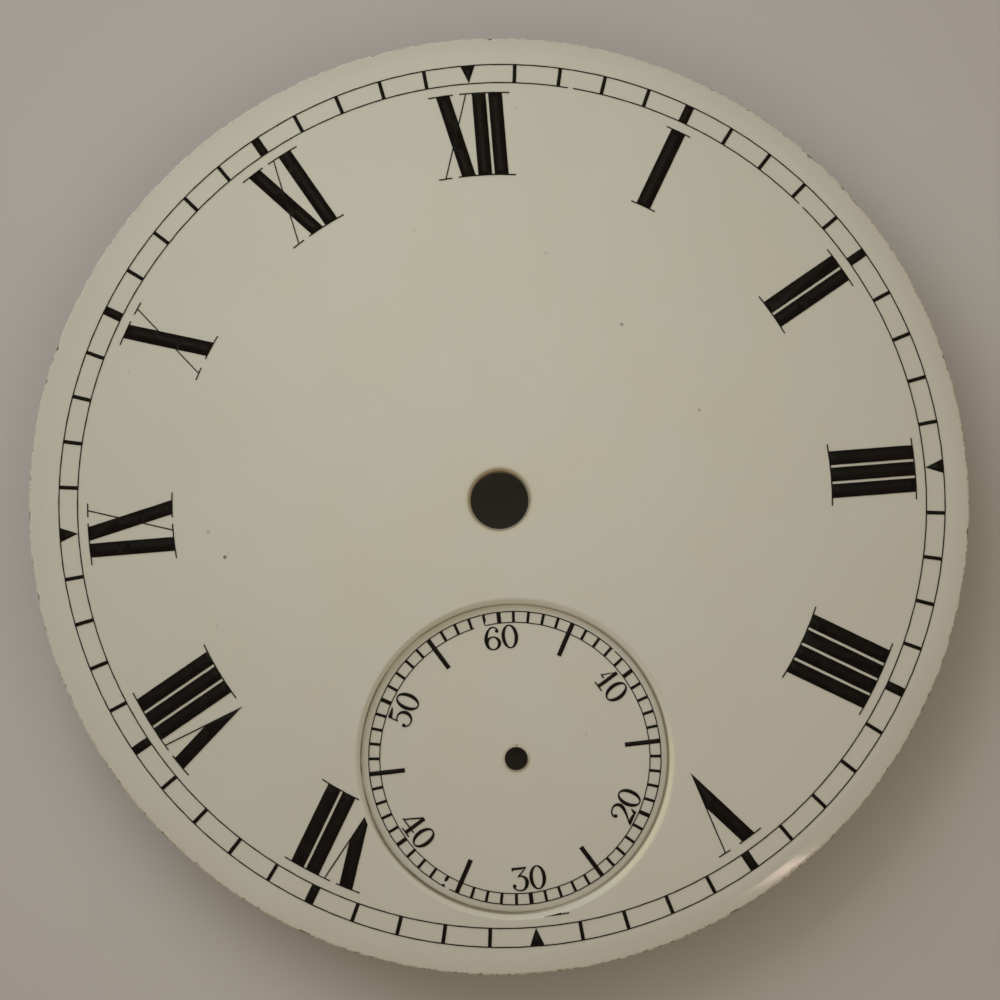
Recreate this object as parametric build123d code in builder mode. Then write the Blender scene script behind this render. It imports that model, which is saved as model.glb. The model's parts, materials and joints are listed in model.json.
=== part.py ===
from build123d import *
from math import asin, cos, degrees, radians, sin
import os

# A fired-enamel dial for a pocket watch, with a sunk seconds dial at six o'clock.
# Millimetres. The origin is on the axis of the centre bore, in the plane of the back that seats on
# the movement. +Z points out of the front and +Y to twelve o'clock. Clock angles run clockwise.

# The main dial: copper between two layers of enamel
dial_diameter = 43.46
counter_enamel_thickness = 0.25
plate_thickness = 0.25
front_enamel_thickness = 0.50

# The copper's turned-up rim and the enamel that rolls over it
rim_wall = 0.16
rim_height = 0.20
rim_corner_radius = 0.10
rim_cover = 0.05
edge_roll_width = 0.60
back_roll_width = 0.40
back_roll_height = 0.15

# The centre bore and the collar that is raised round it
centre_bore_radius = 1.34
collar_wall = 0.09
collar_drop = 0.04
collar_roll_width = 0.16

# The opening for the seconds dial, ground through the fired dial and bevelled. It fills the space
# between the centre bore and the six, and leaves only the end of that numeral's serif
opening_bore_distance = 3.165
opening_six_overrun = 0.04
opening_x = -0.24
opening_bevel_width = 0.30

# The seconds disc: its own copper and enamel, sunk in the opening
seconds_sink = 0.41
seconds_fit = 0.03
seconds_enamel_thickness = 0.25
seconds_plate_thickness = 0.18
seconds_counter_thickness = 0.15
seconds_bore_radius = 0.53
seconds_bore_shift_x = 0.10
seconds_bore_shift_y = -0.06

# The solder ring that holds the seconds disc from behind
solder_lap = 0.64
solder_edge_height = 0.06
solder_crown = 0.08
solder_clearance = 0.06

# The three feet and the brazing at their roots
foot_radius = 0.45
foot_length = 2.60
foot_tip_chamfer = 0.08
foot_rim_distance = 2.40
foot_clock_angles = {"a": 34, "b": 150, "c": 268}
braze_radius = 0.95
braze_neck = 0.08
braze_drop = 0.15
foot_pocket_clearance = 0.15

# Fired paint
paint_thickness = 0.025
print_x = 0.13
print_y = -0.025

# The minute track
track_rim_margin = 1.27
track_width = 0.86
ring_line_width = 0.052
minute_tick_width = 0.168
five_minute_bar_width = 0.42
quarter_triangle_width = 0.68

# How far each five-minute mark stands clockwise of its hour, as a share of a bar's width
mark_shift_shares = {
    1: -0.19, 2: -0.19, 3: -0.10, 4: 0.09, 5: 0.02, 6: -0.07,
    7: 0.03, 8: -0.02, 9: -0.15, 10: 0.02, 11: -0.02, 12: -0.17,
}

# The Roman numerals: thick strokes, hairlines and thin curved serifs
numeral_gap = 0.44
numeral_height = 3.94
stroke_width = 0.645
stroke_gap = 0.12
hairline_width = 0.055
hairline_clearance = 0.27
serif_thickness = 0.055
serif_overhang = 0.34
inside_overhang = 0.17
hairline_serif = 0.62
v_lean = 0.87
v_hairline_lean = 0.56
x_lean = 0.95
x_hairline_top = 1.43
x_hairline_foot = 0.17

# A numeral of one letter is drawn a little bolder and wider
lone_stroke_share = 1.08
lone_serif_share = 0.75
lone_v_hairline_share = 1.45
lone_x_hairline_top_share = 1.08
lone_x_hairline_foot_share = 0.10

# How far each numeral stands clockwise of its hour, as a share of a stroke's width
numeral_shift_shares = {
    1: -0.08, 2: -0.14, 3: -0.05, 4: 0.01, 5: -0.12, 6: -0.12,
    7: 0.00, 8: -0.07, 9: -0.17, 10: -0.08, 11: -0.14, 12: -0.19,
}
numerals = {
    1: "I", 2: "II", 3: "III", 4: "IIII", 5: "V", 6: "VI",
    7: "VII", 8: "VIII", 9: "IX", 10: "X", 11: "XI", 12: "XII",
}

# The seconds track, which was set a little to the right in its opening and anticlockwise
seconds_print_shift_x = 0.04
seconds_print_turn = -2.2
seconds_track_margin = 0.34
seconds_track_width = 0.505
seconds_line_width = 0.044
seconds_tick_width = 0.128
tenth_tick_width = 0.185
long_bar_width = 0.205
long_bar_length = 1.63

# The seconds figures, drawn in shares of their height
figure_gap = 0.115
figure_height = 1.10
figure_space = 0.05
figure_width_share = 0.69
stem_share = 0.15
hair_share = 0.055
ball_share = 0.075

# The angles of a minute, which is also a second's, and of an hour
minute_angle = 6
hour_angle = 30

# Levels and radii that follow from the sizes above
dial_radius = dial_diameter / 2
plate_back = counter_enamel_thickness
plate_front = plate_back + plate_thickness
front_face = plate_front + front_enamel_thickness
rim_inner_radius = dial_radius - rim_wall
rim_top = plate_front + rim_height
collar_outer_radius = centre_bore_radius + collar_wall
collar_top = front_face - collar_drop

track_outer_radius = dial_radius - track_rim_margin
track_inner_radius = track_outer_radius - track_width
numeral_outer_radius = track_inner_radius - numeral_gap
numeral_inner_radius = numeral_outer_radius - numeral_height

bevel_upper_y = -(centre_bore_radius + opening_bore_distance)
bevel_lower_y = print_y - numeral_outer_radius - opening_six_overrun
bevel_radius = (bevel_upper_y - bevel_lower_y) / 2
opening_radius = bevel_radius - opening_bevel_width
opening_y = (bevel_upper_y + bevel_lower_y) / 2

seconds_face = front_face - seconds_sink
seconds_plate_front = seconds_face - seconds_enamel_thickness
seconds_plate_back = seconds_plate_front - seconds_plate_thickness
seconds_counter_back = seconds_plate_back - seconds_counter_thickness
seconds_disc_radius = opening_radius - seconds_fit
seconds_print_x = opening_x + seconds_print_shift_x

seconds_track_outer = opening_radius - seconds_track_margin
seconds_track_inner = seconds_track_outer - seconds_track_width
figure_outer_radius = seconds_track_inner - figure_gap
figure_inner_radius = figure_outer_radius - figure_height

foot_circle_radius = dial_radius - foot_rim_distance
foot_pocket_radius = braze_radius + foot_pocket_clearance

opening_plane = Plane(origin=(opening_x, opening_y, 0))

os.makedirs("parts", exist_ok=True)


def save(piece, node):
    """Labels a finished piece and writes it as one STEP file."""
    piece.part.label = node
    export_step(piece.part, f"parts/{node}.step")


def clock_plane(centre_x, centre_y, level, clock_angle):
    """A plane whose x runs clockwise and whose y runs outwards at a clock angle."""
    turn = radians(clock_angle)
    return Plane(origin=(centre_x, centre_y, level), x_dir=(cos(turn), -sin(turn), 0), z_dir=(0, 0, 1))


def foot_place(clock_angle):
    """The centre of a foot at its clock angle."""
    turn = radians(clock_angle)
    return foot_circle_radius * sin(turn), foot_circle_radius * cos(turn)


# The copper plate: flat, with a low wall at the rim and a collar at the bore
with BuildPart() as dial_plate:
    with BuildSketch(Plane.XZ):
        with BuildLine():
            Polyline(
                (centre_bore_radius, plate_back),
                (centre_bore_radius, collar_top),
                (collar_outer_radius, collar_top),
                (collar_outer_radius, plate_front),
                (rim_inner_radius, plate_front),
                (rim_inner_radius, rim_top),
                (dial_radius, rim_top),
                (dial_radius, plate_back + rim_corner_radius),
            )
            CenterArc(
                (dial_radius - rim_corner_radius, plate_back + rim_corner_radius),
                rim_corner_radius,
                start_angle=-90,
                arc_size=90,
            )
            Line((dial_radius - rim_corner_radius, plate_back), (centre_bore_radius, plate_back))
        make_face()
    revolve(axis=Axis.Z)
    with BuildSketch(opening_plane.offset(plate_back)):
        Circle(opening_radius)
    extrude(amount=plate_thickness, mode=Mode.SUBTRACT)
save(dial_plate, "dial_plate")

# The front enamel: flat, rolled over the rim, dipping a little to the collar,
# and ground back to a bevel round the seconds opening
edge_start = rim_top + rim_cover
with BuildPart() as dial_enamel:
    with BuildSketch(Plane.XZ):
        with BuildLine():
            Polyline(
                (collar_outer_radius + collar_roll_width, front_face),
                (dial_radius - edge_roll_width, front_face),
            )
            EllipticalCenterArc(
                (dial_radius - edge_roll_width, edge_start),
                edge_roll_width,
                front_face - edge_start,
                start_angle=0,
                arc_size=90,
            )
            Polyline(
                (dial_radius, edge_start),
                (dial_radius, rim_top),
                (rim_inner_radius, rim_top),
                (rim_inner_radius, plate_front),
                (collar_outer_radius, plate_front),
                (collar_outer_radius, collar_top),
            )
            EllipticalCenterArc(
                (collar_outer_radius + collar_roll_width, collar_top),
                collar_roll_width,
                collar_drop,
                start_angle=90,
                arc_size=90,
            )
        make_face()
    revolve(axis=Axis.Z)
    with BuildSketch(opening_plane.offset(plate_front)):
        Circle(opening_radius)
    extrude(amount=front_enamel_thickness, mode=Mode.SUBTRACT)
    with BuildSketch(opening_plane.offset(seconds_face)):
        Circle(opening_radius)
    with BuildSketch(opening_plane.offset(front_face)):
        Circle(bevel_radius)
    loft(mode=Mode.SUBTRACT)
save(dial_enamel, "dial_enamel")

# The counter enamel on the back, ground away round the opening and left open round the feet
with BuildPart() as dial_counter_enamel:
    with BuildSketch(Plane.XZ):
        with BuildLine():
            Polyline(
                (dial_radius - back_roll_width, 0),
                (centre_bore_radius, 0),
                (centre_bore_radius, plate_back),
                (dial_radius - rim_corner_radius, plate_back),
                (dial_radius - rim_corner_radius, back_roll_height),
            )
            EllipticalCenterArc(
                (dial_radius - back_roll_width, back_roll_height),
                back_roll_width - rim_corner_radius,
                back_roll_height,
                start_angle=-90,
                arc_size=90,
            )
        make_face()
    revolve(axis=Axis.Z)
    with BuildSketch():
        with Locations((opening_x, opening_y)):
            Circle(opening_radius + solder_lap + solder_clearance)
        for clock_angle in foot_clock_angles.values():
            with Locations(foot_place(clock_angle)):
                Circle(foot_pocket_radius)
    extrude(amount=counter_enamel_thickness, mode=Mode.SUBTRACT)
save(dial_counter_enamel, "dial_counter_enamel")


def seconds_layer(node, radius, bottom, thickness):
    """One round layer of the seconds disc, with the bore for the seconds pivot."""
    with BuildPart() as layer:
        with BuildSketch(opening_plane.offset(bottom)):
            Circle(radius)
            with Locations((seconds_bore_shift_x, seconds_bore_shift_y)):
                Circle(seconds_bore_radius, mode=Mode.SUBTRACT)
        extrude(amount=thickness)
    save(layer, node)


seconds_layer("seconds_enamel", seconds_disc_radius, seconds_plate_front, seconds_enamel_thickness)
seconds_layer("seconds_plate", seconds_disc_radius, seconds_plate_back, seconds_plate_thickness)
seconds_layer(
    "seconds_counter_enamel",
    seconds_disc_radius - solder_lap,
    seconds_counter_back,
    seconds_counter_thickness,
)

# The solder ring: it fills the corner between the main plate's back and the seconds plate
solder_inner_radius = seconds_disc_radius - solder_lap + solder_clearance
solder_outer_radius = opening_radius + solder_lap
solder_middle_radius = (solder_inner_radius + solder_outer_radius) / 2
with BuildPart() as seconds_solder:
    with BuildSketch(Plane(origin=(opening_x, opening_y, 0), x_dir=(1, 0, 0), z_dir=(0, -1, 0))):
        with BuildLine():
            Polyline(
                (solder_inner_radius, seconds_plate_back - solder_edge_height),
                (solder_inner_radius, seconds_plate_back),
                (seconds_disc_radius, seconds_plate_back),
                (seconds_disc_radius, plate_back),
                (solder_outer_radius, plate_back),
                (solder_outer_radius, plate_back - solder_edge_height),
            )
            ThreePointArc(
                (solder_outer_radius, plate_back - solder_edge_height),
                (solder_middle_radius, seconds_plate_back - solder_edge_height - solder_crown),
                (solder_inner_radius, seconds_plate_back - solder_edge_height),
            )
        make_face()
    revolve(axis=Axis((opening_x, opening_y, 0), (0, 0, 1)))
save(seconds_solder, "seconds_solder")

# The feet, brazed to the back of the copper
for foot_name, clock_angle in foot_clock_angles.items():
    foot_x, foot_y = foot_place(clock_angle)
    foot_plane = Plane(origin=(foot_x, foot_y, plate_back))
    with BuildPart() as foot:
        with BuildSketch(foot_plane):
            Circle(foot_radius)
        extrude(amount=-(plate_back + foot_length))
        chamfer(foot.edges().group_by(Axis.Z)[0], foot_tip_chamfer)
    save(foot, f"dial_foot_{foot_name}")

    with BuildPart() as foot_solder:
        with BuildSketch(Plane(origin=(foot_x, foot_y, 0), x_dir=(1, 0, 0), z_dir=(0, -1, 0))):
            with BuildLine():
                Polyline(
                    (foot_radius + braze_neck, plate_back - braze_drop),
                    (foot_radius, plate_back - braze_drop),
                    (foot_radius, plate_back),
                    (braze_radius, plate_back),
                )
                SagittaArc(
                    (braze_radius, plate_back),
                    (foot_radius + braze_neck, plate_back - braze_drop),
                    braze_neck,
                )
            make_face()
        revolve(axis=Axis((foot_x, foot_y, 0), (0, 0, 1)))
    save(foot_solder, f"foot_solder_{foot_name}")


def painted_ring(node, plane, radius, width):
    """A fine painted circle whose line is centred on the radius."""
    with BuildPart() as ring:
        with BuildSketch(plane):
            Circle(radius + width / 2)
            Circle(radius - width / 2, mode=Mode.SUBTRACT)
        extrude(amount=paint_thickness)
    save(ring, node)


# The minute track
print_plane = clock_plane(print_x, print_y, front_face, 0)
painted_ring("minute_outer_ring", print_plane, track_outer_radius, ring_line_width)
painted_ring("minute_inner_ring", print_plane, track_inner_radius, ring_line_width)
tick_outer_radius = track_outer_radius - ring_line_width / 2
tick_inner_radius = track_inner_radius + ring_line_width / 2

track_middle_radius = (track_outer_radius + track_inner_radius) / 2
with BuildPart() as minute_ticks:
    with BuildSketch(print_plane):
        for minute in range(1, 5):
            with PolarLocations(track_middle_radius, 12, start_angle=minute * minute_angle):
                Rectangle(track_width, minute_tick_width)
        Circle(tick_outer_radius, mode=Mode.INTERSECT)
        Circle(tick_inner_radius, mode=Mode.SUBTRACT)
    extrude(amount=paint_thickness)
save(minute_ticks, "minute_ticks")


def mark_plane(hour):
    """The plane of a five-minute mark, a little off its hour."""
    shift = degrees(mark_shift_shares[hour] * five_minute_bar_width / track_outer_radius)
    return clock_plane(print_x, print_y, front_face, hour * hour_angle + shift)


with BuildPart() as five_minute_bars:
    for hour in (1, 2, 4, 5, 7, 8, 10, 11):
        with BuildSketch(mark_plane(hour)):
            with Locations((0, track_middle_radius)):
                Rectangle(five_minute_bar_width, track_width)
            Circle(tick_outer_radius, mode=Mode.INTERSECT)
            Circle(tick_inner_radius, mode=Mode.SUBTRACT)
        extrude(amount=paint_thickness)
save(five_minute_bars, "five_minute_bars")

with BuildPart() as quarter_triangles:
    for hour in (3, 6, 9, 12):
        with BuildSketch(mark_plane(hour)):
            Polygon(
                (0, tick_inner_radius),
                (quarter_triangle_width / 2, track_outer_radius),
                (-quarter_triangle_width / 2, track_outer_radius),
                align=None,
            )
            Circle(tick_outer_radius, mode=Mode.INTERSECT)
        extrude(amount=paint_thickness)
save(quarter_triangles, "quarter_triangles")


def serif(inner_radius, start_x, end_x):
    """A thin curved serif between two places across the numeral."""
    outer_radius = inner_radius + serif_thickness
    start_angle = 90 - degrees(asin(end_x / inner_radius))
    arc_size = degrees(asin(end_x / inner_radius) - asin(start_x / inner_radius))
    with BuildLine() as outline:
        outer_arc = CenterArc((0, 0), outer_radius, start_angle, arc_size)
        inner_arc = CenterArc((0, 0), inner_radius, start_angle, arc_size)
        Line(outer_arc @ 0, inner_arc @ 0)
        Line(outer_arc @ 1, inner_arc @ 1)
    make_face(outline.edges())


def outer_serif(start_x, end_x):
    """A serif along the numeral's outer ends."""
    serif(numeral_outer_radius - serif_thickness, start_x, end_x)


def inner_serif(start_x, end_x):
    """A serif along the numeral's inner ends."""
    serif(numeral_inner_radius, start_x, end_x)


def slanted_stroke(outer_x, inner_x, width):
    """A straight stroke from the outer to the inner end, given by its left edge."""
    Polygon(
        (outer_x, numeral_outer_radius),
        (outer_x + width, numeral_outer_radius),
        (inner_x + width, numeral_inner_radius - serif_thickness),
        (inner_x, numeral_inner_radius - serif_thickness),
        align=None,
    )


def letter_i(left, width, overhang):
    """One upright stroke with a serif at each end."""
    slanted_stroke(left, left, width)
    outer_serif(left - overhang, left + width + overhang)
    inner_serif(left - overhang, left + width + overhang)


def letter_v(left, width, overhang, hairline_lean):
    """A thick stroke and a hairline that meet in a point at the inner end."""
    apex_x = left + v_lean
    hairline_right = apex_x + hairline_lean
    closing = (hairline_right - left - width) / (v_lean + hairline_lean)
    fork_x = left + width + v_lean * closing
    fork_y = numeral_outer_radius - numeral_height * closing
    Polygon(
        (left, numeral_outer_radius),
        (left + width, numeral_outer_radius),
        (fork_x, fork_y),
        (apex_x, numeral_inner_radius),
        align=None,
    )
    Polygon(
        (hairline_right - hairline_width, numeral_outer_radius),
        (hairline_right, numeral_outer_radius),
        (fork_x, fork_y),
        (fork_x - hairline_width, fork_y),
        align=None,
    )
    outer_serif(left - overhang, left + width + inside_overhang)
    outer_serif(hairline_right - hairline_serif / 2, hairline_right + hairline_serif / 2)


def letter_x(left, width, overhang, hairline_top, hairline_foot):
    """A thick stroke crossed by a hairline."""
    top_x = left + hairline_top
    foot_x = left + hairline_foot
    slanted_stroke(left, left + x_lean, width)
    slanted_stroke(top_x - hairline_width / 2, foot_x - hairline_width / 2, hairline_width)
    outer_serif(left - overhang, left + width + inside_overhang)
    outer_serif(top_x - hairline_serif / 2, top_x + hairline_serif / 2)
    inner_serif(foot_x - hairline_serif / 2, foot_x + hairline_serif / 2)
    inner_serif(left + x_lean - inside_overhang, left + x_lean + width + overhang)


def letter_advance(letter):
    """How far the next letter's left edge lies from this one's."""
    if letter == "V":
        return v_lean + v_hairline_lean + hairline_clearance
    if letter == "X":
        return x_hairline_top + hairline_clearance
    return stroke_width + stroke_gap


def numeral_width(letters):
    """The width across a numeral's outer ends, without its serifs."""
    ends = {"I": stroke_width, "V": v_lean + v_hairline_lean, "X": x_hairline_top}
    return sum(letter_advance(letter) for letter in letters[:-1]) + ends[letters[-1]]


def lone_letter(letter):
    """A numeral of one letter, centred."""
    width = stroke_width * lone_stroke_share
    if letter == "I":
        letter_i(-width / 2, width, serif_overhang * lone_serif_share)
    if letter == "V":
        hairline_lean = v_hairline_lean * lone_v_hairline_share
        letter_v(-(v_lean + hairline_lean) / 2, width, serif_overhang, hairline_lean)
    if letter == "X":
        hairline_top = x_hairline_top * lone_x_hairline_top_share
        hairline_foot = x_hairline_foot * lone_x_hairline_foot_share
        letter_x(-hairline_top / 2, width, serif_overhang, hairline_top, hairline_foot)


def joined_letters(letters):
    """A numeral of several letters, set side by side and centred."""
    left = -numeral_width(letters) / 2
    for letter in letters:
        if letter == "I":
            letter_i(left, stroke_width, serif_overhang)
        if letter == "V":
            letter_v(left, stroke_width, serif_overhang, v_hairline_lean)
        if letter == "X":
            letter_x(left, stroke_width, serif_overhang, x_hairline_top, x_hairline_foot)
        left += letter_advance(letter)


# The Roman numerals, cut away where they reach the bevel of the seconds opening
for hour, letters in numerals.items():
    shift = degrees(numeral_shift_shares[hour] * stroke_width / numeral_outer_radius)
    numeral_plane = clock_plane(print_x, print_y, front_face, hour * hour_angle + shift)
    opening_place = numeral_plane.to_local_coords(Vector(opening_x, opening_y, front_face))
    with BuildPart() as numeral:
        with BuildSketch(numeral_plane) as numeral_face:
            if len(letters) == 1:
                lone_letter(letters)
            else:
                joined_letters(letters)
            Circle(numeral_outer_radius, mode=Mode.INTERSECT)
            Circle(numeral_inner_radius, mode=Mode.SUBTRACT)
            with Locations(opening_place):
                Circle(bevel_radius, mode=Mode.SUBTRACT)
            add(numeral_face.faces().sort_by(SortBy.AREA)[-1], mode=Mode.REPLACE)
        extrude(amount=paint_thickness)
    save(numeral, f"numeral_{hour:02d}")


# The seconds track
seconds_print_plane = clock_plane(seconds_print_x, opening_y, seconds_face, seconds_print_turn)
painted_ring("seconds_outer_ring", seconds_print_plane, seconds_track_outer, seconds_line_width)
seconds_tick_outer = seconds_track_outer - seconds_line_width / 2
seconds_tick_inner = seconds_track_inner + seconds_line_width / 2
seconds_tick_middle = (seconds_track_outer + seconds_track_inner) / 2

with BuildPart() as seconds_ticks:
    with BuildSketch(seconds_print_plane):
        for second in (1, 2, 3, 4):
            with PolarLocations(seconds_tick_middle, 12, start_angle=second * minute_angle):
                Rectangle(seconds_track_width, seconds_tick_width)
        with PolarLocations(seconds_tick_middle, 6, start_angle=5 * minute_angle):
            Rectangle(seconds_track_width, tenth_tick_width)
        Circle(seconds_tick_outer, mode=Mode.INTERSECT)
        Circle(seconds_tick_inner, mode=Mode.SUBTRACT)
    extrude(amount=paint_thickness)
save(seconds_ticks, "seconds_ticks")

# The long bars run in from the outer ring, across the inner ring
long_bar_outer = seconds_tick_outer
long_bar_inner = seconds_track_outer - long_bar_length
with BuildPart() as seconds_long_bars:
    with BuildSketch(seconds_print_plane):
        with PolarLocations((seconds_track_outer + long_bar_inner) / 2, 6):
            Rectangle(long_bar_length, long_bar_width)
        Circle(long_bar_outer, mode=Mode.INTERSECT)
    extrude(amount=paint_thickness)
save(seconds_long_bars, "seconds_long_bars")

with BuildPart() as seconds_inner_ring:
    with BuildSketch(seconds_print_plane):
        Circle(seconds_track_inner + seconds_line_width / 2)
        Circle(seconds_track_inner - seconds_line_width / 2, mode=Mode.SUBTRACT)
        with PolarLocations(seconds_track_inner, 6):
            Rectangle(seconds_track_width, long_bar_width, mode=Mode.SUBTRACT)
    extrude(amount=paint_thickness)
save(seconds_inner_ring, "seconds_inner_ring")


def brush_stroke(left, base, path_shares):
    """A stroke that swells and thins along a smooth path of (x, y, width) shares."""
    left_side = []
    right_side = []
    for index, (x, y, width) in enumerate(path_shares):
        before = path_shares[max(index - 1, 0)]
        after = path_shares[min(index + 1, len(path_shares) - 1)]
        along = Vector(after[0] - before[0], after[1] - before[1]).normalized()
        across = Vector(-along.Y, along.X) * (width / 2)
        middle = Vector(left, base) + Vector(x, y) * figure_height
        left_side.append(middle + across * figure_height)
        right_side.append(middle - across * figure_height)
    with BuildLine() as outline:
        left_edge = Spline(*left_side)
        right_edge = Spline(*right_side)
        Line(left_edge @ 0, right_edge @ 0)
        Line(left_edge @ 1, right_edge @ 1)
    make_face(outline.edges())


def share_polygon(left, base, corner_shares):
    """A straight-sided piece of a figure, its corners given in shares of the height."""
    Polygon(*[(left + x * figure_height, base + y * figure_height) for x, y in corner_shares], align=None)


def ball(left, base, x_share, y_share):
    """The round end of a curved stroke."""
    with Locations((left + x_share * figure_height, base + y_share * figure_height)):
        Circle(ball_share * figure_height)


def figure_0(left, base):
    """An upright oval with thick sides."""
    half_width = figure_width_share * figure_height / 2
    with Locations((left + half_width, base + figure_height / 2)):
        Ellipse(half_width, figure_height / 2)
        Ellipse(
            half_width - stem_share * figure_height,
            figure_height * (1 - 2 * hair_share) / 2,
            mode=Mode.SUBTRACT,
        )


def figure_1(left, base):
    """A stem on a foot, with a long flag."""
    share_polygon(left, base, [(0.30, 0.0), (0.30, 1.0), (0.30 + stem_share, 1.0), (0.30 + stem_share, 0.0)])
    share_polygon(left, base, [(0.14, 0.0), (0.14, hair_share), (0.60, hair_share), (0.60, 0.0)])
    share_polygon(left, base, [(0.34, 1.0), (0.30, 0.88), (0.10, 0.45), (0.02, 0.40)])
    share_polygon(left, base, [(0.02, 0.40), (0.05, 0.46), (0.22, 0.44), (0.22, 0.38)])


def figure_2(left, base):
    """A hooked top, a slanting neck and a waved base."""
    brush_stroke(left, base, [
        (0.10, 0.72, 0.09), (0.13, 0.87, 0.07), (0.34, 0.97, hair_share), (0.57, 0.88, 0.11),
        (0.62, 0.68, stem_share), (0.47, 0.44, 0.11), (0.27, 0.24, 0.07), (0.06, 0.06, hair_share),
    ])
    ball(left, base, 0.14, 0.72)
    share_polygon(left, base, [(0.0, 0.0), (0.10, 0.13), (0.30, 0.14), (0.52, 0.09), (0.64, 0.24),
                               (0.68, 0.24), (0.63, 0.0)])


def figure_3(left, base):
    """A flat top, a hairline back and a round bowl."""
    share_polygon(left, base, [(0.04, 0.84), (0.04, 1.0), (0.62, 1.0), (0.64, 0.95), (0.42, 0.90),
                               (0.12, 0.90)])
    share_polygon(left, base, [(0.60, 0.97), (0.66, 0.97), (0.34, 0.62), (0.27, 0.64)])
    brush_stroke(left, base, [
        (0.26, 0.60, hair_share), (0.42, 0.62, 0.07), (0.58, 0.51, 0.12), (0.62, 0.32, stem_share),
        (0.52, 0.10, 0.10), (0.32, 0.03, hair_share), (0.13, 0.10, hair_share), (0.06, 0.22, 0.07),
    ])
    ball(left, base, 0.09, 0.24)


def figure_4(left, base):
    """A stem on a foot, with a slanting hairline and a bar."""
    share_polygon(left, base, [(0.46, 0.0), (0.46, 1.0), (0.46 + stem_share, 1.0), (0.46 + stem_share, 0.0)])
    share_polygon(left, base, [(0.30, 0.0), (0.30, hair_share), (0.76, hair_share), (0.76, 0.0)])
    share_polygon(left, base, [(0.46, 1.0), (0.53, 1.0), (0.09, 0.29), (0.0, 0.26)])
    bar_top = 0.26 + hair_share
    share_polygon(left, base, [(0.0, 0.26), (0.0, bar_top), (0.74, bar_top), (0.74, 0.26)])


def figure_5(left, base):
    """A flag, a thin neck and a round bowl."""
    share_polygon(left, base, [(0.12, 0.82), (0.12, 1.0), (0.60, 1.0), (0.52, 0.93), (0.34, 0.87)])
    neck_right = 0.12 + hair_share
    share_polygon(left, base, [(0.12, 0.56), (0.12, 0.90), (neck_right, 0.90), (neck_right, 0.56)])
    brush_stroke(left, base, [
        (0.12, 0.57, hair_share), (0.28, 0.65, hair_share), (0.48, 0.60, 0.09), (0.60, 0.36, stem_share),
        (0.50, 0.11, 0.09), (0.31, 0.03, hair_share), (0.13, 0.09, hair_share), (0.05, 0.22, 0.07),
    ])
    ball(left, base, 0.08, 0.25)


def figure_6(left, base):
    """A long curved back that closes in a round bowl."""
    with Locations((left + 0.36 * figure_height, base + 0.29 * figure_height)):
        Ellipse(0.33 * figure_height, 0.29 * figure_height)
        Ellipse(0.19 * figure_height, 0.235 * figure_height, mode=Mode.SUBTRACT)
    brush_stroke(left, base, [
        (0.20, 0.10, hair_share), (0.10, 0.26, 0.13), (0.08, 0.46, stem_share), (0.15, 0.74, 0.11),
        (0.28, 0.92, 0.07), (0.42, 0.96, hair_share), (0.55, 0.89, hair_share), (0.59, 0.80, 0.06),
    ])
    ball(left, base, 0.56, 0.79)


# Each figure's first digit, that digit's width as a share of the height, and which way its top points
seconds_figures = {
    60: (figure_6, figure_width_share, "out"),
    10: (figure_1, 0.60, "out"),
    20: (figure_2, 0.66, "in"),
    30: (figure_3, figure_width_share, "in"),
    40: (figure_4, 0.76, "in"),
    50: (figure_5, 0.66, "out"),
}
for seconds, (first_figure, first_width_share, top) in seconds_figures.items():
    clock_angle = seconds * minute_angle + seconds_print_turn
    if top == "in":
        figure_plane = clock_plane(seconds_print_x, opening_y, seconds_face, clock_angle + 180)
        base = -figure_outer_radius
    else:
        figure_plane = clock_plane(seconds_print_x, opening_y, seconds_face, clock_angle)
        base = figure_inner_radius
    first_width = first_width_share * figure_height
    zero_width = figure_width_share * figure_height
    left = -(first_width + figure_space + zero_width) / 2
    with BuildPart() as seconds_numeral:
        with BuildSketch(figure_plane):
            figure_0(left + first_width + figure_space, base)
            first_figure(left, base)
        extrude(amount=paint_thickness)
    save(seconds_numeral, f"seconds_numeral_{seconds}")
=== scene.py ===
import json
import math

import bmesh
import bpy
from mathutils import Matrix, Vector, noise


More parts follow.
